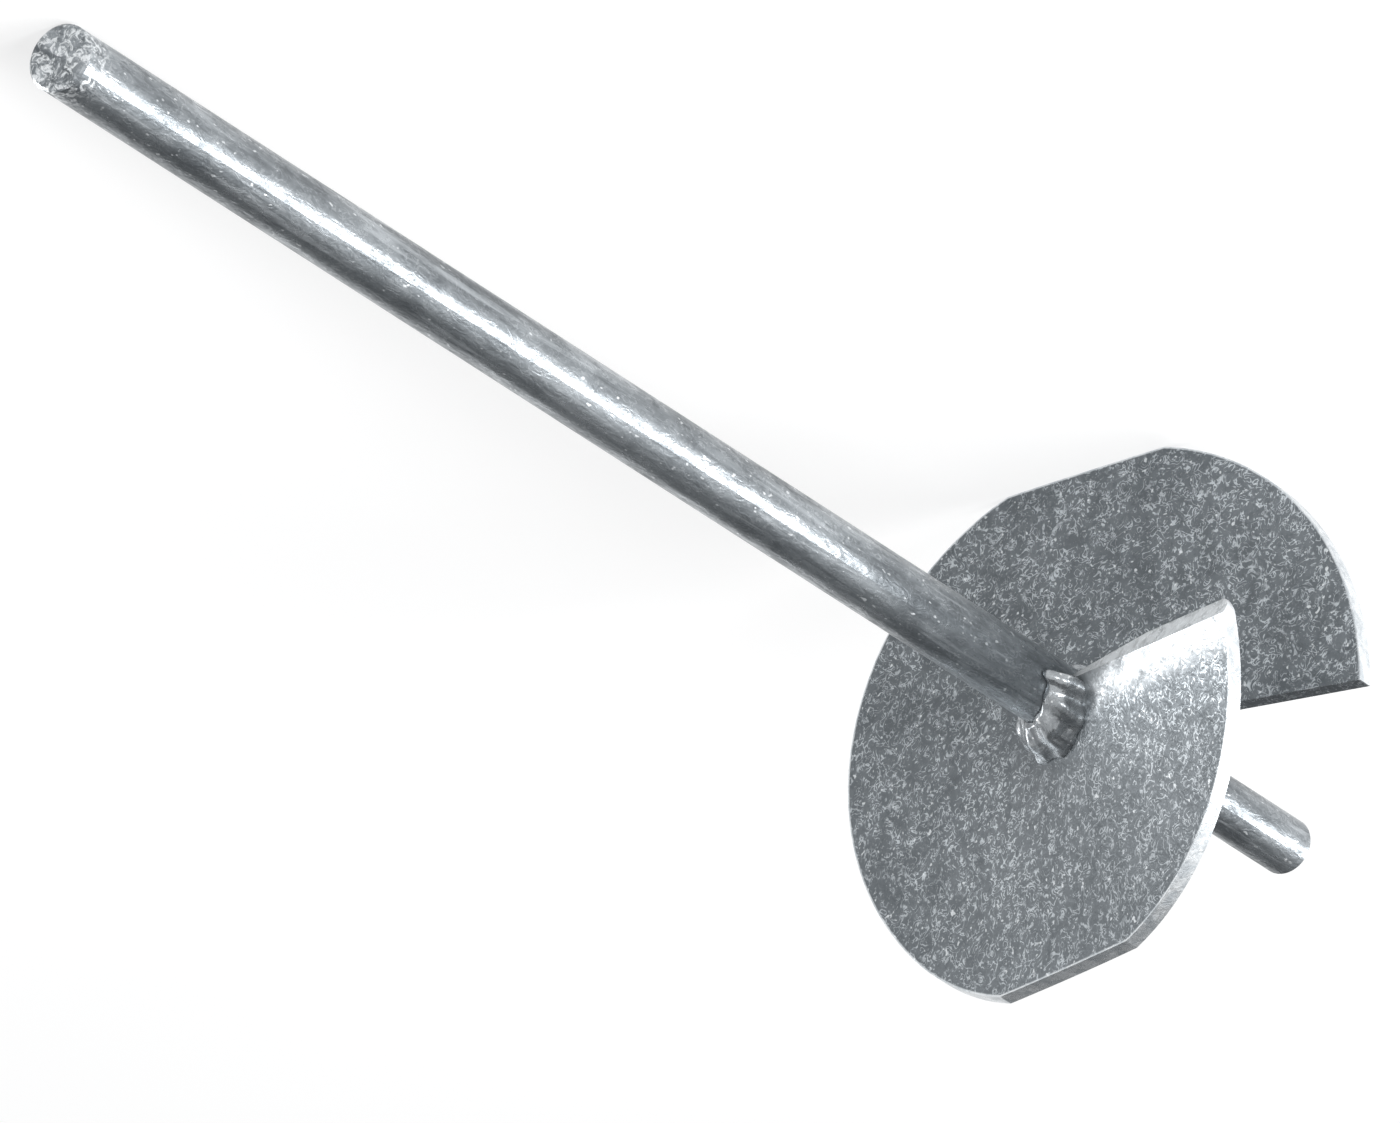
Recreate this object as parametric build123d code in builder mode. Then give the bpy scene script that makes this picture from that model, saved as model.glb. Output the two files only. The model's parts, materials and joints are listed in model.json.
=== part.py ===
"""Screw earth anchor: a round bar carrying one helical plate near its lower end.

The anchor is drawn lying on a floor at Z = 0, resting on one chord flat of the plate
and on the lower rim of the bar's top end.  The bar's axis runs from the top end
(+X side) to the pilot end (-X side) and climbs a little towards the plate.

Places along the anchor are given as a distance from the top end of the bar, and places
round it as an angle in degrees that grows the way a right-handed thread advances.
"""

import os
from math import atan2, cos, degrees, radians, sin, sqrt

from build123d import *

os.makedirs("parts", exist_ok=True)

# ---------------------------------------------------------------- bar
SHAFT_D = 30.0              # upper bar, drawn stock
STUB_D = 25.0               # turned-down pilot below the plate
SHOULDER_Z = 828.0          # where the bar steps down to the pilot
SHAFT_LENGTH = 950.0        # top end to pilot end
TOP_CHAMFER = 1.2           # broken edge at the top end
SHOULDER_CHAMFER = 2.0      # broken edge of the step
PILOT_CHAMFER = 1.6         # broken edge at the pilot end

# ---------------------------------------------------------------- helical plate
PLATE_D = 252.0             # disc the plate is cut from
PLATE_T = 8.0               # sheet thickness
PLATE_Z = 801.0             # upper face of the level part, from the top end
FLAT_DISTANCE = 119.8       # axis to each of the two chord flats
NEAR_FLAT_ANGLE = 51.5      # direction of the flat beside the raised flap
FAR_FLAT_ANGLE = 226.8      # direction of the flat the anchor lies on
TRAILING_EDGE = -33.0       # raised edge of the slit
LEADING_EDGE = 323.0        # level edge of the slit, that enters the ground first
HUB_RISE = 52.0             # climb of the trailing edge beside the bar
RIM_RISE = 103.0            # climb of the trailing edge at the rim
HUB_CURL = 1.6              # how late the climb comes beside the bar
RIM_CURL = 1.5              # how late the climb comes at the rim
RIM_BEND_START = 105.0      # angle where the rim leaves the level part
LEADING_DIP = 4.0           # how far the leading corner is set down
DIP_START = 255.0           # angle where the dip begins
EDGE_BEVEL = 40.0           # slant of the trailing edge's cut face, off square
EDGE_STOCK = 8.0            # degrees of stock left past the trailing edge before its cut
EDGE_CORNER_R = 9.0         # rounded outer corner of the trailing edge
BORE_CLEARANCE = 0.4        # radial gap between the bar and the plate's bore

# ---------------------------------------------------------------- weld beads
UPPER_LEG_OUT = 11.0        # reach of the upper bead across the plate
UPPER_LEG_UP = 19.0         # reach of the upper bead along the bar
LOWER_LEG_OUT = 8.0         # reach of the lower bead across the plate
LOWER_LEG_DOWN = 9.0        # reach of the lower bead along the bar
BEAD_CROWN = 1.8            # how far a bead's face stands proud of straight
BEAD_SWELL = 1.3            # how much the hand-laid bead's reach varies
BEAD_SINK = 2.5             # depth of bead stock taken off where it meets metal
BEAD_END_GAP = 6.0          # degrees left between the bead and each slit edge

# ---------------------------------------------------------------- derived
SHAFT_R = SHAFT_D / 2
STUB_R = STUB_D / 2
PLATE_R = PLATE_D / 2
BORE_R = SHAFT_R + BORE_CLEARANCE
TURN = LEADING_EDGE - TRAILING_EDGE
BLANK_R = PLATE_R + 5.0     # plate stock before its outline is cut
BLANK_BORE_R = SHAFT_R - 5.0
SECTION_STEP = 11.5         # angle between the plate's drawn sections
# The slant carries the lower face past the upper one, and the corner's round follows it.
CORNER_ANGLE = TRAILING_EDGE - degrees(PLATE_T / cos(radians(EDGE_BEVEL)) / PLATE_R)

# Lying attitude: the line through the bar's top rim and the far flat is the floor.
LIE_TILT = atan2(FLAT_DISTANCE - SHAFT_R, PLATE_Z - TOP_CHAMFER)
TOP_HEIGHT = SHAFT_R * cos(LIE_TILT) - TOP_CHAMFER * sin(LIE_TILT)
# The origin lies under the middle of the anchor's length.
TOP_END_REACH = (SHAFT_R - TOP_CHAMFER) * sin(LIE_TILT)
PILOT_END_REACH = SHAFT_LENGTH * cos(LIE_TILT) + (STUB_R - PILOT_CHAMFER) * sin(LIE_TILT)
TOP_X = (PILOT_END_REACH - TOP_END_REACH) / 2


def radial(angle: float) -> Vector:
    """Unit vector pointing away from the axis at a given angle round the bar."""
    turn = radians(angle - FAR_FLAT_ANGLE)
    down = Vector(-sin(LIE_TILT), 0, -cos(LIE_TILT))
    return down * cos(turn) + Vector(0, -1, 0) * sin(turn)


AXIS = Vector(-cos(LIE_TILT), 0, sin(LIE_TILT))
TOP_CENTRE = Vector(TOP_X, 0, TOP_HEIGHT)
bar_plane = Plane(origin=TOP_CENTRE, x_dir=radial(0.0), z_dir=AXIS)


def hub_rise(angle: float) -> float:
    """Climb of the plate beside the bar, towards the top end."""
    share = (LEADING_EDGE - angle) / TURN
    return HUB_RISE * max(share, 0.0) ** HUB_CURL


def rim_rise(angle: float) -> float:
    """Climb of the plate's rim towards the top end; the leading corner dips."""
    share = (RIM_BEND_START - angle) / (RIM_BEND_START - TRAILING_EDGE)
    dip = (angle - DIP_START) / (LEADING_EDGE - DIP_START)
    return RIM_RISE * max(share, 0.0) ** RIM_CURL - LEADING_DIP * max(dip, 0.0) ** 2


def upper_face(radius: float, angle: float) -> float:
    """Distance from the top end to the plate's upper face; straight along a radius."""
    share = (radius - SHAFT_R) / (PLATE_R - SHAFT_R)
    return PLATE_Z - hub_rise(angle) * (1 - share) - rim_rise(angle) * share


def lower_face(radius: float, angle: float) -> float:
    """Distance from the top end to the lower face, one sheet thickness behind."""
    along = (upper_face(radius, angle + 1) - upper_face(radius, angle - 1)) / 2
    along /= radians(1) * max(radius, SHAFT_R)
    outward = (rim_rise(angle) - hub_rise(angle)) / (PLATE_R - SHAFT_R)
    return upper_face(radius, angle) + PLATE_T * sqrt(1 + along**2 + outward**2)


def angles_between(first: float, last: float, step: float) -> list[float]:
    """Even run of angles from first to last, no further apart than step."""
    count = max(2, round((last - first) / step))
    return [first + (last - first) * i / count for i in range(count + 1)]


def section_plane(angle: float) -> Plane:
    """Plane holding the axis and one radius: x is outward, y is towards the pilot."""
    outward = radial(angle)
    return Plane(origin=TOP_CENTRE, x_dir=outward, z_dir=outward.cross(AXIS))


def edge_cut_plane() -> Plane:
    """Plane of the trailing edge's slanted cut: x runs out along the edge."""
    outward = radial(TRAILING_EDGE)
    around = radial(TRAILING_EDGE + 90)
    start = TOP_CENTRE + outward * SHAFT_R + AXIS * upper_face(SHAFT_R, TRAILING_EDGE)
    end = TOP_CENTRE + outward * PLATE_R + AXIS * upper_face(PLATE_R, TRAILING_EDGE)
    along_edge = (end - start).normalized()
    rise = upper_face(PLATE_R, TRAILING_EDGE) - upper_face(PLATE_R, TRAILING_EDGE + 1)
    past_edge = AXIS * rise - around * radians(1) * PLATE_R
    past_edge = (past_edge - along_edge * past_edge.dot(along_edge)).normalized()
    through = past_edge.cross(along_edge)
    if through.dot(AXIS) < 0:
        through = through * -1
    slant = radians(EDGE_BEVEL)
    waste = past_edge * cos(slant) - through * sin(slant)
    return Plane(origin=start, x_dir=along_edge, z_dir=waste)


# ---------------------------------------------------------------- bar with its pilot
with BuildPart() as shaft:
    with BuildSketch(section_plane(0.0)):
        with BuildLine():
            Polyline(
                (0, 0),
                (SHAFT_R - TOP_CHAMFER, 0),
                (SHAFT_R, TOP_CHAMFER),
                (SHAFT_R, SHOULDER_Z - SHOULDER_CHAMFER),
                (SHAFT_R - SHOULDER_CHAMFER, SHOULDER_Z),
                (STUB_R, SHOULDER_Z),
                (STUB_R, SHAFT_LENGTH - PILOT_CHAMFER),
                (STUB_R - PILOT_CHAMFER, SHAFT_LENGTH),
                (0, SHAFT_LENGTH),
                close=True,
            )
        make_face()
    revolve(axis=Axis(TOP_CENTRE, AXIS))
shaft.part.label = "shaft"

# ---------------------------------------------------------------- plate
with BuildPart() as helix_plate:
    for angle in angles_between(TRAILING_EDGE - EDGE_STOCK, LEADING_EDGE, SECTION_STEP):
        with BuildSketch(section_plane(angle)):
            with BuildLine():
                Polyline(
                    (BLANK_BORE_R, upper_face(BLANK_BORE_R, angle)),
                    (BLANK_R, upper_face(BLANK_R, angle)),
                    (BLANK_R, lower_face(BLANK_R, angle)),
                    (BLANK_BORE_R, lower_face(BLANK_BORE_R, angle)),
                    close=True,
                )
            make_face()
    loft()
    # Slanted cut face of the trailing edge.
    with BuildSketch(edge_cut_plane()):
        with Locations((BLANK_BORE_R - SHAFT_R, 0)):
            Rectangle(PLATE_D, PLATE_T * 6, align=(Align.MIN, Align.CENTER))
    extrude(amount=PLATE_T * 6, mode=Mode.SUBTRACT)
    # Disc outline with its two chord flats.
    with BuildSketch(bar_plane.offset(PLATE_Z - RIM_RISE * 1.5)):
        Circle(PLATE_R)
        for flat_angle in (NEAR_FLAT_ANGLE, FAR_FLAT_ANGLE):
            with Locations(Rot(0, 0, flat_angle) * Pos(FLAT_DISTANCE + PLATE_R / 2, 0)):
                Rectangle(PLATE_R, PLATE_D, mode=Mode.SUBTRACT)
    extrude(amount=RIM_RISE * 2, mode=Mode.INTERSECT)
    # Rounded outer corner of the trailing edge.
    with BuildSketch(bar_plane.offset(PLATE_Z - RIM_RISE * 1.5)):
        corner = Rot(0, 0, CORNER_ANGLE) * Pos(PLATE_R - EDGE_CORNER_R, EDGE_CORNER_R)
        with Locations(corner * Pos(0, -EDGE_CORNER_R)):
            Rectangle(EDGE_CORNER_R * 2, EDGE_CORNER_R, align=(Align.MIN, Align.MIN))
        with Locations(corner):
            Circle(EDGE_CORNER_R, mode=Mode.SUBTRACT)
    extrude(amount=RIM_RISE, mode=Mode.SUBTRACT)
    # Bore for the bar.
    with BuildSketch(bar_plane.offset(PLATE_Z - RIM_RISE * 1.5)):
        Circle(BORE_R)
    extrude(amount=RIM_RISE * 2, mode=Mode.SUBTRACT)
helix_plate.part.label = "helix_plate"


def bead_reach(leg: float, angle: float) -> float:
    """Reach of a hand-laid bead, swelling and thinning round the bar."""
    return leg + BEAD_SWELL * sin(radians(angle * 7)) * cos(radians(angle * 3))


def bead_outline(out: float, tip: float, foot: float, side: int) -> list[tuple]:
    """Crowned section of a bead, carried on into the bar and the plate it joins.

    out is where the bead ends on the plate and tip where it ends on the bar; foot is
    the plate's face at out.  side is -1 for the upper face and +1 for the lower one.
    """
    crown = ((SHAFT_R + out) / 2 + BEAD_CROWN, (tip + foot) / 2 + side * BEAD_CROWN)
    into_bar = (crown[1] - tip) / (crown[0] - SHAFT_R)
    into_plate = (out - crown[0]) / (foot - crown[1])
    buried = foot - side * BEAD_SINK
    return [
        (SHAFT_R - BEAD_SINK, tip - into_bar * BEAD_SINK),
        crown,
        (out + into_plate * (buried - foot), buried),
        (SHAFT_R - BEAD_SINK, buried),
    ]


BEAD_ANGLES = angles_between(
    TRAILING_EDGE + BEAD_END_GAP, LEADING_EDGE - BEAD_END_GAP, SECTION_STEP
)

# ---------------------------------------------------------------- bead on the upper face
with BuildPart() as upper_weld:
    for angle in BEAD_ANGLES:
        out = SHAFT_R + bead_reach(UPPER_LEG_OUT, angle)
        tip = upper_face(SHAFT_R, angle) - bead_reach(UPPER_LEG_UP, angle)
        with BuildSketch(section_plane(angle)):
            with BuildLine():
                Polyline(*bead_outline(out, tip, upper_face(out, angle), -1), close=True)
            make_face()
    loft()
    add(helix_plate.part, mode=Mode.SUBTRACT)
    with BuildSketch(bar_plane):
        Circle(SHAFT_R)
    extrude(amount=SHAFT_LENGTH, mode=Mode.SUBTRACT)
upper_weld.part.label = "upper_weld"

# ---------------------------------------------------------------- bead on the lower face
with BuildPart() as lower_weld:
    for angle in BEAD_ANGLES:
        out = SHAFT_R + bead_reach(LOWER_LEG_OUT, angle)
        tip = lower_face(SHAFT_R, angle) + bead_reach(LOWER_LEG_DOWN, angle)
        with BuildSketch(section_plane(angle)):
            with BuildLine():
                Polyline(*bead_outline(out, tip, lower_face(out, angle), 1), close=True)
            make_face()
    loft()
    add(helix_plate.part, mode=Mode.SUBTRACT)
    with BuildSketch(bar_plane):
        Circle(SHAFT_R)
    extrude(amount=SHAFT_LENGTH, mode=Mode.SUBTRACT)
lower_weld.part.label = "lower_weld"

export_step(shaft.part, "parts/shaft.step")
export_step(helix_plate.part, "parts/helix_plate.step")
export_step(upper_weld.part, "parts/upper_weld.step")
export_step(lower_weld.part, "parts/lower_weld.step")
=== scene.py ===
"""Finish, weld beads, floor, lamps and camera for the screw earth anchor."""

from __future__ import annotations

import json
import logging
import math
from dataclasses import dataclass, field
from enum import Enum
from typing import Any

import bpy
from mathutils import Matrix, Vector, noise

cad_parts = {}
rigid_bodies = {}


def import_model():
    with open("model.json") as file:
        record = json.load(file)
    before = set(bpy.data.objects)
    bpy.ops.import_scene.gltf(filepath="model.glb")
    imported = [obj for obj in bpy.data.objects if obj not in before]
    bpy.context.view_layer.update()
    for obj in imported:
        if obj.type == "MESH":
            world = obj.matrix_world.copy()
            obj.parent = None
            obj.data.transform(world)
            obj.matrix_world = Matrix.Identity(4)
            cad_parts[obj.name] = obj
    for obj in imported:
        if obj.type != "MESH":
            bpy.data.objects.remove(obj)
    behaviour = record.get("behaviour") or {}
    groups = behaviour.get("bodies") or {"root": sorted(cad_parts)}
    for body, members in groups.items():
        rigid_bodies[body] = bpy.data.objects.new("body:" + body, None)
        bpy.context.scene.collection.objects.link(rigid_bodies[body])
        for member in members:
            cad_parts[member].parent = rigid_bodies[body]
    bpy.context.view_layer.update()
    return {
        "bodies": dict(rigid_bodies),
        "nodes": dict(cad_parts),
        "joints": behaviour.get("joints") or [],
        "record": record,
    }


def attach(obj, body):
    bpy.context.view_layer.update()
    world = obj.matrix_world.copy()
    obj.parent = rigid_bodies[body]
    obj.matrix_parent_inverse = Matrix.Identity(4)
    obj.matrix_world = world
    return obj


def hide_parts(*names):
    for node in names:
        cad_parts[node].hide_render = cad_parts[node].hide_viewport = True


LOG = logging.getLogger("screw_earth_anchor")
MM = 0.001
FLOOR_ANGLE = 226.8  # degrees round the bar of the side that the anchor lies on
MID_BAR = 0.45  # metres down the bar that the long lamp and the flag are aimed at
AT_PLATE = 0.75  # metres down the bar that the other lamps are aimed at
DOTTED = {"operation": "DOT_PRODUCT"}
TIMES = {"operation": "MULTIPLY"}

Colour = tuple[float, float, float]
Span = tuple[float, float]


# ------------------------------------------------------------------ shader graph
class Sock:
    """An output socket, or a number, that shader expressions are written with."""

    def __init__(self, graph: "Graph", value: Any) -> None:
        """Wrap a value of a graph.

        Args:
            graph: The graph that new nodes are added to.
            value: An output socket or a plain number.
        """
        self.graph = graph
        self.value = value

    def _math(self, operation: str, *values: Any) -> "Sock":
        """Add a Math node.

        Args:
            operation: The Math node's operation.
            values: The operands, in order.

        Returns:
            The node's result.
        """
        return self.graph.node("ShaderNodeMath", {"operation": operation}, dict(enumerate(values)))

    def __add__(self, other: Any) -> "Sock":
        """Sum."""
        return self._math("ADD", self, other)

    __radd__ = __add__

    def __sub__(self, other: Any) -> "Sock":
        """Difference."""
        return self._math("SUBTRACT", self, other)

    def __rsub__(self, other: Any) -> "Sock":
        """Difference, reflected."""
        return self._math("SUBTRACT", other, self)

    def __mul__(self, other: Any) -> "Sock":
        """Product."""
        return self._math("MULTIPLY", self, other)

    __rmul__ = __mul__

    def __pow__(self, other: Any) -> "Sock":
        """Power."""
        return self._math("POWER", self, other)

    def __abs__(self) -> "Sock":
        """Size without its sign."""
        return self._math("ABSOLUTE", self)

    def smaller(self, other: Any) -> "Sock":
        """The smaller of two values."""
        return self._math("MINIMUM", self, other)

    def larger(self, other: Any) -> "Sock":
        """The larger of two values."""
        return self._math("MAXIMUM", self, other)

    def ramp(self, low: float, high: float) -> "Sock":
        """Smooth step.

        Args:
            low: The value at which the result is 0.
            high: The value at which the result is 1; it may be below low.

        Returns:
            The smooth step of this value.
        """
        if high < low:
            return 1.0 - self.ramp(high, low)
        settings = {"interpolation_type": "SMOOTHSTEP"}
        return self.graph.node("ShaderNodeMapRange", settings, {0: self, 1: low, 2: high})


@dataclass(frozen=True)
class Pattern:
    """A noise: features to the metre, octaves, weight of the finer ones, distortion."""

    scale: float
    detail: float = 2.0
    rough: float = 0.5
    bend: float = 0.0

    def times(self, factor: float) -> "Pattern":
        """The same pattern, drawn finer.

        Args:
            factor: How many times finer.

        Returns:
            The finer pattern.
        """
        return Pattern(self.scale * factor, self.detail, self.rough, self.bend)


class Graph:
    """A material's node tree, built by expressions."""

    def __init__(self, tree: bpy.types.NodeTree) -> None:
        """Take over a node tree and empty it.

        Args:
            tree: The tree to fill.
        """
        self.tree = tree
        tree.nodes.clear()

    def node(
        self,
        kind: str,
        settings: dict[str, Any] | None = None,
        inputs: dict[Any, Any] | None = None,
        output: int | str = 0,
    ) -> Sock:
        """Add any node.

        Args:
            kind: The node's type name.
            settings: Its properties, set before its sockets.
            inputs: Values or links by socket name or number.
            output: The socket that is returned.

        Returns:
            The chosen output.
        """
        made = self.tree.nodes.new(kind)
        for name, value in (settings or {}).items():
            setattr(made, name, value)
        for name, value in (inputs or {}).items():
            self.join(value, made.inputs[name])
        return Sock(self, made.outputs[output] if len(made.outputs) else made)

    def join(self, value: Any, socket: bpy.types.NodeSocket) -> None:
        """Link an output to a socket, or set its value.

        Args:
            value: A Sock, a number, a vector or a colour.
            socket: The input that receives it.
        """
        if isinstance(value, Sock):
            self.tree.links.new(value.value, socket)
        elif isinstance(value, tuple) and len(value) == 3 and socket.type == "RGBA":
            socket.default_value = (*value, 1.0)
        else:
            socket.default_value = value

    def mix(self, share: Any, low: Any, high: Any) -> Sock:
        """Mix two colours.

        Args:
            share: How much of the second colour shows.
            low: The first colour.
            high: The second colour.

        Returns:
            The mixed colour.
        """
        settings = {"data_type": "RGBA"}
        return self.node("ShaderNodeMix", settings, {0: share, 6: low, 7: high}, output=2)

    def noise(self, place: Sock, pattern: Pattern) -> Sock:
        """Add a noise.

        Args:
            place: The point it is read at.
            pattern: The kind of noise.

        Returns:
            The noise's value, near 0.5 on the whole.
        """
        values = {
            "Vector": place,
            "Scale": pattern.scale,
            "Detail": pattern.detail,
            "Roughness": pattern.rough,
            "Distortion": pattern.bend,
        }
        return self.node("ShaderNodeTexNoise", None, values)

    def stretched(self, place: Sock, factor: float) -> Sock:
        """Draw a place out along the bar.

        Args:
            place: Place in the bar's own frame.
            factor: The share of the distance along the bar that is kept.

        Returns:
            The place with its first number scaled.
        """
        return self.node("ShaderNodeVectorMath", TIMES, {0: place, 1: (factor, 1, 1)})

    def part(self, place: Sock, axis: str) -> Sock:
        """Take one number of a place.

        Args:
            place: The place.
            axis: X, Y or Z.

        Returns:
            That number.
        """
        return self.node("ShaderNodeSeparateXYZ", None, {0: place}, output=axis)

    def bump(
        self, height: Sock, distance: float, strength: float, normal: Sock | None = None
    ) -> Sock:
        """Add a bump.

        Args:
            height: The height, from 0 to 1.
            distance: What a height of 1 stands for, in metres.
            strength: The bump's strength.
            normal: A normal to add to.

        Returns:
            The bumped normal.
        """
        values: dict[str, Any] = {"Height": height, "Distance": distance, "Strength": strength}
        if normal is not None:
            values["Normal"] = normal
        return self.node("ShaderNodeBump", None, values)


# ------------------------------------------------------------------ the anchor's own axes
@dataclass(frozen=True)
class BarAxes:
    """Where the bar lies: the middle of its top end and the way to its pilot end."""

    top: Vector
    along: Vector

    @classmethod
    def from_record(cls, record: dict[str, Any]) -> "BarAxes":
        """Read the bar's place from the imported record.

        Args:
            record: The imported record.

        Returns:
            The bar's axes.
        """
        face = next(m for m in record["mounts"] if m["name"] == "top_face")
        return cls(Vector(face["pos_m"]), -Vector(face["axis"]).normalized())

    @property
    def tilt(self) -> float:
        """Rise of the bar towards its pilot end, in radians."""
        return math.asin(self.along.z)

    def outward(self, angle: float) -> Vector:
        """Direction away from the axis.

        Args:
            angle: Degrees round the bar, growing as a right-handed thread advances; the
                anchor lies on the side at FLOOR_ANGLE.

        Returns:
            A unit vector.
        """
        turn = math.radians(angle - FLOOR_ANGLE)
        down = Vector((-math.sin(self.tilt), 0.0, -math.cos(self.tilt)))
        return down * math.cos(turn) + Vector((0.0, -1.0, 0.0)) * math.sin(turn)

    def locate(self, graph: Graph) -> Sock:
        """Place in the bar's own frame: X runs up the bar, Y and Z across it, in metres."""
        place = graph.node("ShaderNodeTexCoord", output="Object")
        moved = graph.node(
            "ShaderNodeVectorMath", {"operation": "SUBTRACT"}, {0: place, 1: tuple(self.top)}
        )
        return graph.node(
            "ShaderNodeVectorRotate",
            {"rotation_type": "Y_AXIS"},
            {"Vector": moved, "Angle": -self.tilt},
        )


# ------------------------------------------------------------------ finishes
class Surface(Enum):
    """The surfaces that the zinc looks different on."""

    BAR = "bar"
    PLATE = "plate"
    BEAD = "bead"


CLOUDS = Pattern(14.0, 3.0, 0.5)  # broad patches of duller and brighter zinc
BLOTCH = Pattern(95.0, 3.0, 0.6, 0.4)  # patches a few millimetres wide
EDGE_STREAKS = Pattern(150.0, 3.0, 0.6, 0.6)  # streaks across the plate's cut edges, partly painted highlight glints, and along the painted highlight band
NEAR_BAR_NOISE = Pattern(60.0, 4.0, 0.6)  # darker patches on the plate close to the bar, beside the beads
HIGHLIGHT_SIDE_NOISE = Pattern(55.0, 3.0, 0.6)  # uneven side of the painted highlight band beside the plate's raised edge
RUNS = Pattern(170.0, 4.0, 0.65, 0.5)  # long runs down the bar
SCUFF = Pattern(240.0, 4.0, 0.7, 1.2)  # scuffs at the bar's top end

# How much a noise's values are stretched to make a mask; 0 at the first, 1 at the second.
PATCH_SPAN = (0.30, 0.68)
WORM_GAP_SPAN = (0.40, 0.56)
WORM_SPAN = (0.062, 0.014)
SPECK_SPAN = (0.69, 0.76)
PIT_SPAN = (0.44, 0.32)
GRAIN_SPAN = (0.58, 0.78)
EDGE_TINT_SPAN = (0.36, 0.60)
HIGHLIGHT_STREAK_SPAN = (0.3, 0.6)
NEAR_BAR_SPAN = (0.35, 0.6)
THICK_RUN_SPAN = (0.52, 0.70)
THIN_RUN_SPAN = (0.46, 0.34)
SCUFF_SPAN = (0.47, 0.60)
FLOOR_SPAN = (0.3, 0.7)

NOISE_MIDDLE = 0.5  # what a noise's values lie round
WORM_LEVEL = 0.52  # the noise value that the worms follow

# How strongly each mark tints the zinc.
DULL_WORM_SHARE = 0.35
PIT_SHARE = 0.8
EDGE_SHARE = 0.85
HIGHLIGHT_BASE_SHARE = 0.25
HIGHLIGHT_STREAK_SHARE = 0.40
NEAR_BAR_SHARE = 0.55
BAR_RUN_SHARE = 0.55
SCUFF_SHARE = 0.75

# How much each mark adds to the roughness, or takes from it.
BLOTCH_ROUGH = 0.30
PIT_ROUGH = 0.10
WORM_POLISH = 0.08
EDGE_POLISH = 0.12
BAR_RUN_POLISH = 0.22

# These are drawn as fine as a finish's worm_scale says.
WORMS = Pattern(1.0, 1.6, 0.5, 2.2)
WORM_GAPS = Pattern(1.3, 2.0, 0.5)
SPECKS = Pattern(2.2, 1.0, 0.4)
PITS = Pattern(1.7, 2.0, 0.6, 0.8)
GRAIN = Pattern(4.5, 3.0, 0.7)


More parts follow.
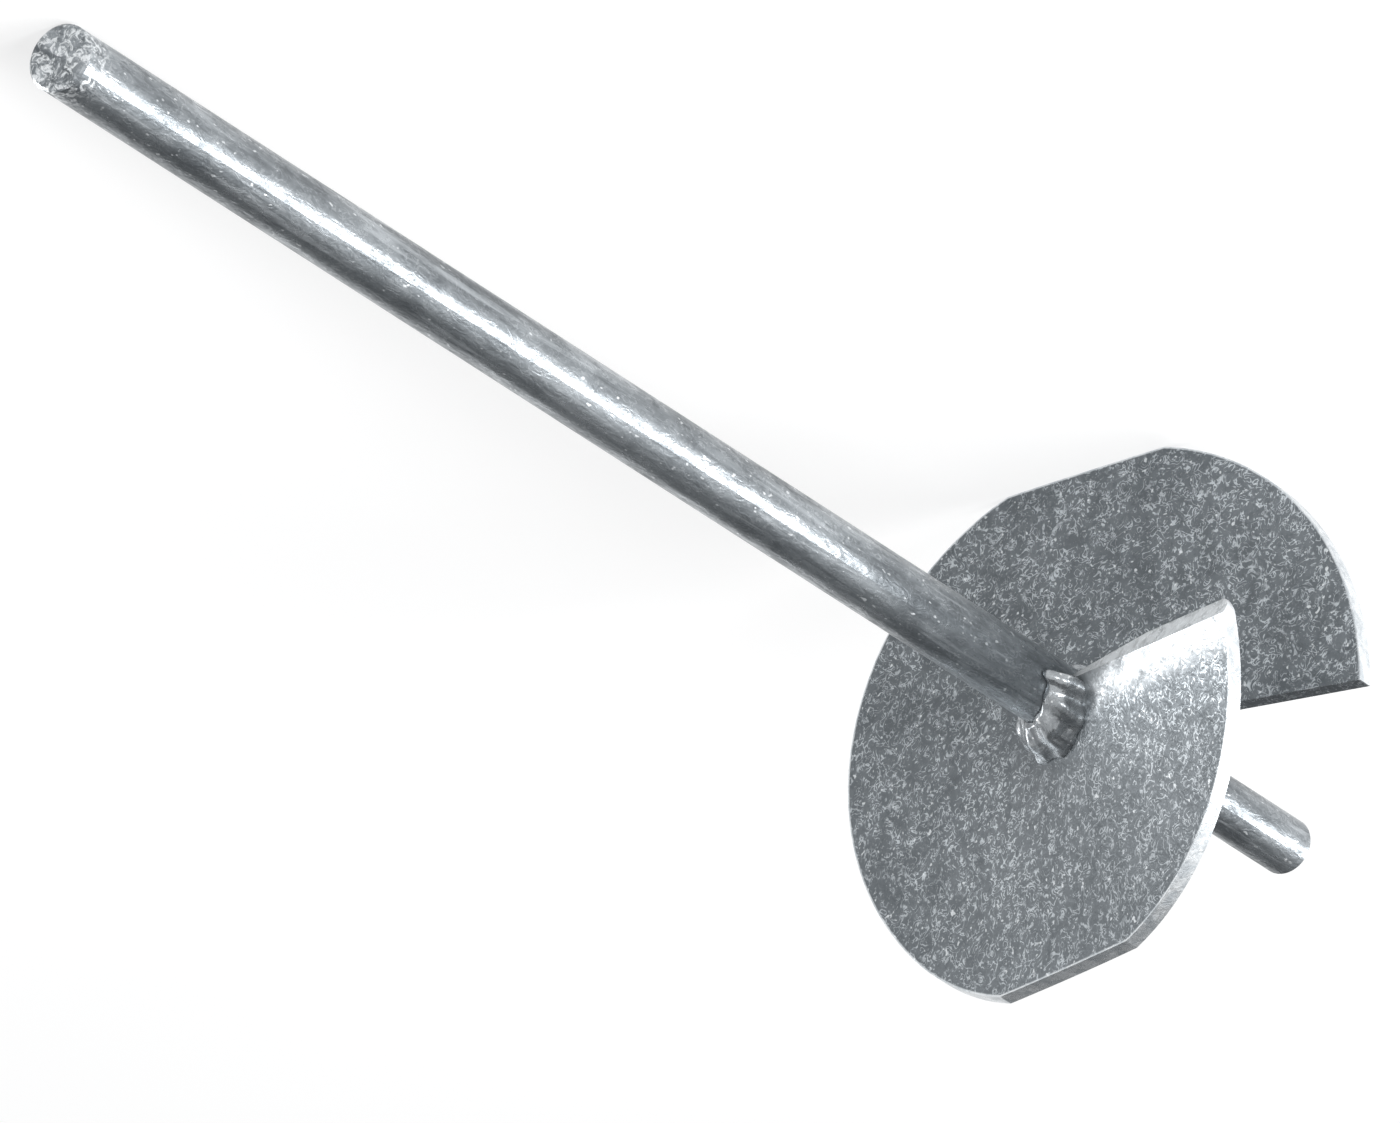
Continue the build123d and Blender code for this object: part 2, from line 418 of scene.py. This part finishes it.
@dataclass(frozen=True)
class ZincFinish:
    """Hot-dip galvanising: a grey coat with worm-like spangle, clouds and runs; on the plate,
    painted highlights as well.
    """

    name: str
    surface: Surface
    dark: Colour
    body: Colour
    light: Colour
    bright: Colour
    roughness: float
    metallic: float
    worm_scale: float
    worm_share: float
    grain: float
    swell: float = 0.25
    stretch: float = 1.0
    speck_share: float = 0.6
    cloud_share: float = 0.45
    blotch_depth: float = 0.8 * MM
    worm_depth: float = 0.35 * MM
    grain_depth: float = 0.07 * MM
    worm_strength: float = 0.60
    grain_strength: float = 0.5
    rough_limits: Span = (0.16, 0.85)
    plate_radius: float = 126.0 * MM
    flat_distance: float = 119.8 * MM
    collar: Span = (48.0 * MM, 22.5 * MM)
    rim_starts: float = 1.1 * MM
    rim_full: float = 0.25 * MM
    # Where the painted highlight band beside the plate's raised edge lies.
    highlight_width: Span = (22.0 * MM, 9.0 * MM)
    highlight_height: Span = (-775.0 * MM, -760.0 * MM)
    highlight_reach: Span = (16.0 * MM, 24.0 * MM)
    highlight_wander: float = 9.0 * MM
    scuffed_end: Span = (-22.0 * MM, -4.0 * MM)
    run_stretch: float = 0.07
    trailing_angle: float = -33.0
    flat_angles: tuple[float, float] = (51.5, 226.8)

    def build(self, axes: BarAxes) -> bpy.types.Material:
        """Make the material.

        Args:
            axes: The bar's axes.

        Returns:
            The finished material.
        """
        material = bpy.data.materials.new(self.name)
        material.use_nodes = True
        graph = Graph(material.node_tree)
        own = axes.locate(graph)
        place = graph.stretched(own, self.stretch)
        clouds = graph.noise(place, CLOUDS)
        blotch = graph.noise(place, BLOTCH)
        worm_field = graph.noise(place, WORMS.times(self.worm_scale))
        worm_gaps = graph.noise(place, WORM_GAPS.times(self.worm_scale)).ramp(*WORM_GAP_SPAN)
        worms = abs(worm_field - WORM_LEVEL).ramp(*WORM_SPAN) * worm_gaps
        specks = graph.noise(place, SPECKS.times(self.worm_scale)).ramp(*SPECK_SPAN)
        pits = graph.noise(place, PITS.times(self.worm_scale)).ramp(*PIT_SPAN)
        grain = graph.noise(place, GRAIN.times(self.worm_scale))
        patch = clouds * self.cloud_share + blotch * (1.0 - self.cloud_share)
        patch = patch.ramp(*PATCH_SPAN)
        worm_share = DULL_WORM_SHARE + (1.0 - DULL_WORM_SHARE) * patch

        colour = graph.mix(patch, self.dark, self.body)
        colour = graph.mix(worms * self.worm_share * worm_share, colour, self.light)
        colour = graph.mix(pits * self.grain * PIT_SHARE, colour, self.dark)
        colour = graph.mix(grain.ramp(*GRAIN_SPAN) * self.grain, colour, self.light)
        colour = graph.mix(specks * self.speck_share, colour, self.bright)
        rough = self.roughness + (NOISE_MIDDLE - blotch) * BLOTCH_ROUGH
        rough = rough + pits * PIT_ROUGH - worms * WORM_POLISH
        colour, rough = self.add_own_marks(graph, own, colour, rough)

        normal = graph.bump(blotch, self.blotch_depth, self.swell)
        normal = graph.bump(worm_field, self.worm_depth, self.worm_strength, normal)
        normal = graph.bump(grain, self.grain_depth, self.grain_strength, normal)
        smoothest, roughest = self.rough_limits
        shader = graph.node(
            "ShaderNodeBsdfPrincipled",
            None,
            {
                "Base Color": colour,
                "Roughness": rough.larger(smoothest).smaller(roughest),
                "Metallic": self.metallic,
                "Normal": normal,
            },
        )
        graph.node("ShaderNodeOutputMaterial", None, {"Surface": shader})
        return material

    def add_own_marks(
        self, graph: Graph, own: Sock, colour: Sock, rough: Sock
    ) -> tuple[Sock, Sock]:
        """Add the marks that only this surface has.

        Args:
            graph: The material's graph.
            own: Place in the bar's own frame.
            colour: The colour so far.
            rough: The roughness so far.

        Returns:
            Colour and roughness with the marks.
        """
        if self.surface is Surface.PLATE:
            return self.mark_plate(graph, own, colour, rough)
        if self.surface is Surface.BAR:
            return self.mark_bar(graph, own, colour, rough)
        return colour, rough

    def mark_plate(
        self, graph: Graph, own: Sock, colour: Sock, rough: Sock
    ) -> tuple[Sock, Sock]:
        """Add paler smooth cut edges with a painted highlight glint on them, a painted highlight
        band beside the raised edge, and a darker ring beside the beads.

        Args:
            graph: The material's graph.
            own: Place in the bar's own frame.
            colour: The colour so far.
            rough: The roughness so far.

        Returns:
            Colour and roughness with the plate's marks.
        """
        across, rest = graph.part(own, "Y"), graph.part(own, "Z")
        radius = (across * across + rest * rest) ** 0.5
        edge = self.edge_mask(radius, self.plate_radius)
        for angle in self.flat_angles:
            reach = self.reach(graph, own, angle)
            edge = edge.larger(self.edge_mask(reach, self.flat_distance))
        streaks = graph.noise(own, EDGE_STREAKS)
        # Cut edges: paler smoother zinc, with a painted highlight glint streaked in towards the
        # bright colour.
        edge_zinc_and_glint = graph.mix(streaks.ramp(*EDGE_TINT_SPAN), self.light, self.bright)
        colour = graph.mix(edge * EDGE_SHARE, colour, edge_zinc_and_glint)
        # Painted highlight: a bright streaky band beside the plate's raised edge, painted into the
        # colour.
        highlight_streaks = HIGHLIGHT_BASE_SHARE + HIGHLIGHT_STREAK_SHARE * streaks.ramp(*HIGHLIGHT_STREAK_SPAN)
        share = self.painted_highlight_band(graph, own) * highlight_streaks
        colour = graph.mix(share, colour, self.bright)
        # Darker patches on the plate, strongest close to the bar and gone 48 mm from its axis.
        near_bar_dark = radius.ramp(*self.collar) * graph.noise(own, NEAR_BAR_NOISE).ramp(*NEAR_BAR_SPAN)
        colour = graph.mix(near_bar_dark * NEAR_BAR_SHARE, colour, self.dark)
        return colour, rough - edge * EDGE_POLISH

    def edge_mask(self, distance: Sock, limit: float) -> Sock:
        """Mask of the last millimetre before an edge.

        Args:
            distance: How far a place lies from the axis.
            limit: The distance of the edge.

        Returns:
            The mask, 1 on the edge's own face.
        """
        return distance.ramp(limit - self.rim_starts, limit - self.rim_full)

    @staticmethod
    def reach(graph: Graph, own: Sock, angle: float) -> Sock:
        """How far a place lies from the axis in one direction.

        Args:
            graph: The material's graph.
            own: Place in the bar's own frame.
            angle: The direction, in degrees round the bar.

        Returns:
            The distance in metres.
        """
        turn = math.radians(angle - FLOOR_ANGLE)
        way = (0.0, -math.sin(turn), -math.cos(turn))
        return graph.node("ShaderNodeVectorMath", DOTTED, {0: own, 1: way}, output="Value")

    def painted_highlight_band(self, graph: Graph, own: Sock) -> Sock:
        """Mask of the painted highlight: a bright band painted beside the raised edge of the
        plate, where the bent flap catches the light.

        Args:
            graph: The material's graph.
            own: Place in the bar's own frame.

        Returns:
            The mask, 1 on the painted highlight.
        """
        reach = self.reach(graph, own, self.trailing_angle)
        gap = self.reach(graph, own, self.trailing_angle + 90.0)
        wander = graph.noise(own, HIGHLIGHT_SIDE_NOISE) * self.highlight_wander
        near = (gap + wander).ramp(*self.highlight_width)
        raised = graph.part(own, "X").ramp(*self.highlight_height)
        return near * raised * reach.ramp(*self.highlight_reach)

    def mark_bar(self, graph: Graph, own: Sock, colour: Sock, rough: Sock) -> tuple[Sock, Sock]:
        """Add long runs of thicker zinc down the bar, and a scuffed bright top end.

        Args:
            graph: The material's graph.
            own: Place in the bar's own frame.
            colour: The colour so far.
            rough: The roughness so far.

        Returns:
            Colour and roughness with the bar's marks.
        """
        runs = graph.noise(graph.stretched(own, self.run_stretch), RUNS)
        colour = graph.mix(runs.ramp(*THICK_RUN_SPAN) * BAR_RUN_SHARE, colour, self.light)
        colour = graph.mix(runs.ramp(*THIN_RUN_SPAN) * BAR_RUN_SHARE, colour, self.dark)
        end = graph.part(own, "X").ramp(*self.scuffed_end)
        scuff = graph.noise(own, SCUFF).ramp(*SCUFF_SPAN)
        colour = graph.mix(end * scuff * SCUFF_SHARE, colour, self.bright)
        return colour, rough + (NOISE_MIDDLE - runs) * BAR_RUN_POLISH


BAR_ZINC = ZincFinish(
    name="galvanised_bar",
    surface=Surface.BAR,
    dark=(0.100, 0.112, 0.122),
    body=(0.300, 0.325, 0.345),
    light=(0.560, 0.595, 0.625),
    bright=(0.900, 0.930, 0.950),
    roughness=0.36,
    metallic=0.82,
    worm_scale=210.0,
    worm_share=0.40,
    grain=0.60,
    swell=0.42,
    stretch=0.45,
)
PLATE_ZINC = ZincFinish(
    name="galvanised_plate",
    surface=Surface.PLATE,
    dark=(0.105, 0.118, 0.128),
    body=(0.165, 0.182, 0.196),
    light=(0.560, 0.600, 0.630),
    bright=(0.800, 0.830, 0.850),
    roughness=0.42,
    metallic=0.80,
    worm_scale=190.0,
    worm_share=1.0,
    grain=0.55,
)
BEAD_ZINC = ZincFinish(
    name="galvanised_weld",
    surface=Surface.BEAD,
    dark=(0.110, 0.120, 0.130),
    body=(0.430, 0.455, 0.475),
    light=(0.720, 0.750, 0.770),
    bright=(0.920, 0.940, 0.950),
    roughness=0.27,
    metallic=0.80,
    worm_scale=160.0,
    worm_share=0.30,
    grain=0.30,
    swell=0.35,
)


# ------------------------------------------------------------------ weld beads
@dataclass(frozen=True)
class Lump:
    """One puddle of weld metal: its place round the bar, width and height."""

    angle: float
    width: float
    height: float


@dataclass
class WeldBead:
    """A hand-laid bead round the bar, with puddles, ripples and a rough skin."""

    node: str
    lumps: tuple[Lump, ...]
    voxel: float = 0.45 * MM
    ripple_height: float = 0.22 * MM
    ripple_count: float = 19.0
    ripple_scale: float = 90.0
    ripple_wander: float = 3.25
    rough_height: float = 0.55 * MM
    rough_scale: float = 170.0
    root_radius: float = 15.2 * MM
    root_fade: float = 1.5 * MM
    ease_factor: float = 0.6
    ease_steps: int = 14
    seed: float = 3.7

    def build(self, axes: BarAxes, source: bpy.types.Object) -> bpy.types.Object:
        """Make the bead from the plain bead's form.

        Args:
            axes: The bar's axes.
            source: The plain bead.

        Returns:
            The finished bead.
        """
        piece = bpy.data.objects.new(f"{self.node}_metal", source.data.copy())
        bpy.context.scene.collection.objects.link(piece)
        even = piece.modifiers.new("even_mesh", "REMESH")
        even.mode = "VOXEL"
        even.voxel_size = self.voxel * 1.0
        even.use_smooth_shade = True
        ease = piece.modifiers.new("ease_edges", "SMOOTH")
        ease.factor = self.ease_factor
        ease.iterations = self.ease_steps
        shown = piece.evaluated_get(bpy.context.evaluated_depsgraph_get())
        mesh = bpy.data.meshes.new_from_object(shown)
        piece.modifiers.clear()
        piece.data = mesh
        self.raise_lumps(axes, mesh)
        for face in mesh.polygons:
            face.use_smooth = True
        return piece

    def raise_lumps(self, axes: BarAxes, mesh: bpy.types.Mesh) -> None:
        """Move the bead's skin to its puddles and ripples.

        Args:
            axes: The bar's axes.
            mesh: The bead's even mesh.
        """
        across = axes.outward(0.0)
        side = axes.outward(90.0)
        moves = []
        for vertex in mesh.vertices:
            local = vertex.co - axes.top
            angle = math.degrees(math.atan2(local.dot(side), local.dot(across)))
            away = (local - axes.along * local.dot(axes.along)).length
            free = min(1.0, max(0.0, (away - self.root_radius) / self.root_fade))
            moves.append(vertex.normal * (self.height_at(vertex.co, angle) * free))
        for vertex, move in zip(mesh.vertices, moves):
            vertex.co += move

    def height_at(self, place: Vector, angle: float) -> float:
        """How far the skin stands out.

        Args:
            place: A point on the bead.
            angle: Its angle round the bar, in degrees.

        Returns:
            The height in metres.
        """
        height = 0.0
        for lump in self.lumps:
            gap = (angle - lump.angle + 180.0) % 360.0 - 180.0
            height += lump.height * math.exp(-((gap / lump.width) ** 2))
        wander = noise.noise(place * self.ripple_scale + Vector((self.seed, 0, 0)))
        phase = math.radians(angle) * self.ripple_count + wander * self.ripple_wander
        height += self.ripple_height * math.sin(phase)
        height += self.rough_height * noise.noise(place * self.rough_scale)
        return height


# ------------------------------------------------------------------ the whole anchor
@dataclass
class Anchor:
    """The welded anchor: bar, bent plate and two beads."""

    frame: dict[str, Any]
    axes: BarAxes
    beads: tuple[WeldBead, ...] = field(
        default=(
            WeldBead(
                "upper_weld",
                (
                    Lump(-22.0, 10.0, 1.5 * MM),
                    Lump(2.0, 11.0, 2.0 * MM),
                    Lump(34.0, 13.0, 1.7 * MM),
                    Lump(72.0, 15.0, 1.4 * MM),
                    Lump(118.0, 16.0, 0.9 * MM),
                    Lump(170.0, 18.0, 1.1 * MM),
                    Lump(215.0, 15.0, 0.8 * MM),
                    Lump(262.0, 14.0, 1.2 * MM),
                    Lump(300.0, 12.0, 0.9 * MM),
                ),
            ),
            WeldBead(
                "lower_weld",
                (
                    Lump(10.0, 14.0, 0.8 * MM),
                    Lump(80.0, 18.0, 0.7 * MM),
                    Lump(150.0, 16.0, 0.9 * MM),
                    Lump(230.0, 18.0, 0.6 * MM),
                ),
                seed=8.1,
            ),
        )
    )

    def dress(self) -> None:
        """Give every piece its finish and build the beads."""
        finishes = {
            "shaft": BAR_ZINC.build(self.axes),
            "helix_plate": PLATE_ZINC.build(self.axes),
        }
        for name, material in finishes.items():
            self.coat(self.frame["nodes"][name], material)
            LOG.info("%s: %s", name, material.name)
        weld_material = BEAD_ZINC.build(self.axes)
        for bead in self.beads:
            piece = bead.build(self.axes, self.frame["nodes"][bead.node])
            self.coat(piece, weld_material)
            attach(piece, "root")
            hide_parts(bead.node)
            LOG.info("%s: %d faces", piece.name, len(piece.data.polygons))

    @staticmethod
    def coat(piece: bpy.types.Object, material: bpy.types.Material) -> None:
        """Put one material on a piece.

        Args:
            piece: The piece.
            material: Its material.
        """
        if not piece.material_slots:
            piece.data.materials.append(material)
        for slot in piece.material_slots:
            slot.link = "OBJECT"
            slot.material = material


# ------------------------------------------------------------------ studio
@dataclass(frozen=True)
class Lamp:
    """A soft box: where it stands from its target, its size and its power."""

    name: str
    away: Vector
    size: tuple[float, float]
    power: float
    target: Vector

    def build(self) -> None:
        """Add the lamp."""
        data = bpy.data.lights.new(self.name, "AREA")
        data.shape = "RECTANGLE"
        data.size, data.size_y = self.size
        data.energy = self.power
        lamp = bpy.data.objects.new(self.name, data)
        bpy.context.scene.collection.objects.link(lamp)
        lamp.location = self.target + self.away
        facing = -self.away.normalized()
        run = Vector((1.0, 0.0, 0.0))
        run = (run - facing * run.dot(facing)).normalized()
        turned = Matrix((run, -facing.cross(run), -facing)).transposed()
        lamp.rotation_euler = turned.to_euler()
        lamp.visible_camera = False


FLOOR_CLOUDS = Pattern(3.0)


@dataclass
class Studio:
    """Pale floor, pale surroundings, soft boxes, a dark flag and the long-lens camera."""

    axes: BarAxes
    floor_size: float = 9.0
    floor_drop: float = 0.3 * MM
    floor_colour: Colour = (0.88, 0.885, 0.89)
    floor_light: Colour = (0.90, 0.905, 0.91)
    floor_rough: float = 0.9
    floor_glow: float = 0.72
    pale: Colour = (1.0, 1.0, 1.0)
    fill_strength: float = 0.45
    look_tilt: float = 50.37
    look_slope: float = 32.64
    look_roll: float = 0.16
    look_along: float = 600.0 * MM
    look_right: float = -60.81 * MM
    look_up: float = 0.73 * MM
    look_distance: float = 19.4
    lens: float = 1194.3
    sensor: float = 36.0
    clip: Span = (0.5, 60.0)
    strip_angle: float = -8.0
    strip_distance: float = 2.4
    front_angle: float = -6.0
    front_distance: float = 1.6
    flag_angle: float = 37.0
    flag_distance: float = 1.7
    flag_size: Span = (3.4, 1.5)
    flag_colour: Colour = (0.03, 0.032, 0.035)

    def build(self) -> None:
        """Build the studio."""
        self.add_floor()
        self.light_world()
        for lamp in self.lamps():
            lamp.build()
        self.add_flag()
        self.add_camera()
        bpy.context.scene.view_settings.view_transform = "Standard"

    @staticmethod
    def add_sheet(
        name: str, finish: str, corners: list[Vector]
    ) -> tuple[bpy.types.Object, Graph]:
        """Add a flat sheet with an empty material.

        Args:
            name: The sheet's name.
            finish: The material's name.
            corners: Its four corners, in order.

        Returns:
            The sheet and its material's graph.
        """
        mesh = bpy.data.meshes.new(name)
        mesh.from_pydata([tuple(corner) for corner in corners], [], [(0, 1, 2, 3)])
        sheet = bpy.data.objects.new(name, mesh)
        bpy.context.scene.collection.objects.link(sheet)
        material = bpy.data.materials.new(finish)
        material.use_nodes = True
        mesh.materials.append(material)
        return sheet, Graph(material.node_tree)

    @staticmethod
    def corners(centre: Vector, along: Vector, across: Vector) -> list[Vector]:
        """The corners of a rectangle.

        Args:
            centre: Its middle.
            along: From the middle to one side.
            across: From the middle to the next side.

        Returns:
            The four corners, in order.
        """
        signs = ((-1, -1), (1, -1), (1, 1), (-1, 1))
        return [centre + along * one + across * two for one, two in signs]

    def add_floor(self) -> None:
        """Lay the floor under the anchor; it shows pale to the eye and keeps its shadow."""
        half = self.floor_size / 2
        middle = Vector((0.0, 0.0, -self.floor_drop))
        corners = self.corners(middle, Vector((half, 0.0, 0.0)), Vector((0.0, half, 0.0)))
        floor, graph = self.add_sheet("floor", "pale_floor", corners)
        place = graph.node("ShaderNodeTexCoord", output="Object")
        clouds = graph.noise(place, FLOOR_CLOUDS).ramp(*FLOOR_SPAN)
        tone = graph.mix(clouds, self.floor_colour, self.floor_light)
        values = {"Base Color": tone, "Roughness": self.floor_rough}
        shader = graph.node("ShaderNodeBsdfPrincipled", None, values)
        share = self.looked_at(graph) * self.floor_glow
        glow = graph.node("ShaderNodeEmission", None, {"Color": self.pale, "Strength": 1.0})
        mixed = graph.node("ShaderNodeMixShader", None, {0: share, 1: shader, 2: glow})
        graph.node("ShaderNodeOutputMaterial", None, {"Surface": mixed})

    @staticmethod
    def looked_at(graph: Graph) -> Sock:
        """Mask of rays from the eye, in a reflection or through glass.

        Args:
            graph: The graph of the floor's or the world's material.

        Returns:
            1 for a ray that looks, 0 for one that gathers light.
        """
        seen = graph.node("ShaderNodeLightPath", output="Is Camera Ray")
        for name in ("Is Glossy Ray", "Is Transmission Ray"):
            seen = seen.larger(graph.node("ShaderNodeLightPath", output=name))
        return seen

    def light_world(self) -> None:
        """Show white to the eye and in reflections, and light softly."""
        world = bpy.data.worlds.new("studio_air")
        bpy.context.scene.world = world
        world.use_nodes = True
        graph = Graph(world.node_tree)
        seen = self.looked_at(graph)
        fill = graph.node(
            "ShaderNodeBackground", None, {"Color": self.pale, "Strength": self.fill_strength}
        )
        white = graph.node("ShaderNodeBackground", None, {"Color": self.pale, "Strength": 1.0})
        mixed = graph.node("ShaderNodeMixShader", None, {0: seen, 1: fill, 2: white})
        graph.node("ShaderNodeOutputWorld", None, {"Surface": mixed})

    def lamps(self) -> list[Lamp]:
        """List the soft boxes."""
        plate = self.axes.top + self.axes.along * AT_PLATE
        middle = self.axes.top + self.axes.along * MID_BAR
        strip = self.glance(self.strip_angle) * self.strip_distance
        front = self.axes.outward(self.front_angle) * self.front_distance
        return [
            Lamp("bar_strip", strip, (2.6, 0.50), 46.0, middle),
            Lamp("key_box", Vector((1.5, -1.7, 1.7)), (1.2, 1.2), 30.0, plate),
            Lamp("bar_front", front, (1.2, 0.5), 22.0, plate),
            Lamp("back_box", Vector((0.30, 2.2, 0.12)), (1.5, 0.42), 24.0, plate),
        ]

    def glance(self, angle: float) -> Vector:
        """Direction whose reflection in the bar is seen at an angle round it.

        Args:
            angle: Degrees round the bar from the line nearest the camera.

        Returns:
            A unit vector away from the bar.
        """
        tilt = math.radians(self.look_tilt)
        return self.axes.outward(2 * angle) * math.cos(tilt) + self.axes.along * math.sin(tilt)

    def add_flag(self) -> None:
        """Hang a dark studio flag that gives the bar its dark side; only gloss sees it."""
        away = self.glance(self.flag_angle)
        centre = self.axes.top + self.axes.along * MID_BAR + away * self.flag_distance
        along = (self.axes.along - away * self.axes.along.dot(away)).normalized()
        across = along.cross(away)
        half_long, half_wide = self.flag_size[0] / 2, self.flag_size[1] / 2
        corners = self.corners(centre, along * half_long, across * half_wide)
        flag, graph = self.add_sheet("flag", "flag_cloth", corners)
        values = {"Base Color": self.flag_colour, "Roughness": 1.0}
        shader = graph.node("ShaderNodeBsdfPrincipled", None, values)
        graph.node("ShaderNodeOutputMaterial", None, {"Surface": shader})
        flag.visible_camera = False
        flag.visible_diffuse = False
        flag.visible_shadow = False

    def add_camera(self) -> None:
        """Set the long-lens camera that looks down the bar towards the plate."""
        along, out, side = self.axes.along, self.axes.outward(0.0), self.axes.outward(90.0)
        roll = Matrix.Rotation(-math.radians(self.look_roll), 3, along)
        out, side = roll @ out, roll @ side
        tilt, slope = math.radians(self.look_tilt), math.radians(self.look_slope)
        run = along * math.cos(tilt) + out * math.sin(tilt)
        back = out * math.cos(tilt) - along * math.sin(tilt)
        right = run * math.cos(slope) - side * math.sin(slope)
        up = -(run * math.sin(slope) + side * math.cos(slope))
        aim = self.axes.top + along * self.look_along
        place = aim + right * self.look_right + up * self.look_up + back * self.look_distance
        data = bpy.data.cameras.new("long_lens")
        data.lens = self.lens
        data.sensor_width = self.sensor
        data.clip_start, data.clip_end = self.clip
        camera = bpy.data.objects.new("long_lens", data)
        turned = Matrix((right, up, back)).transposed().to_4x4()
        camera.matrix_world = Matrix.Translation(place) @ turned
        bpy.context.scene.collection.objects.link(camera)
        bpy.context.scene.camera = camera


def main() -> None:
    """Dress the anchor and build its studio."""
    logging.basicConfig(level=logging.INFO, format="%(name)s: %(message)s")
    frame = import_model()
    axes = BarAxes.from_record(frame["record"])
    Anchor(frame, axes).dress()
    Studio(axes).build()


if __name__ == "__main__":
    main()
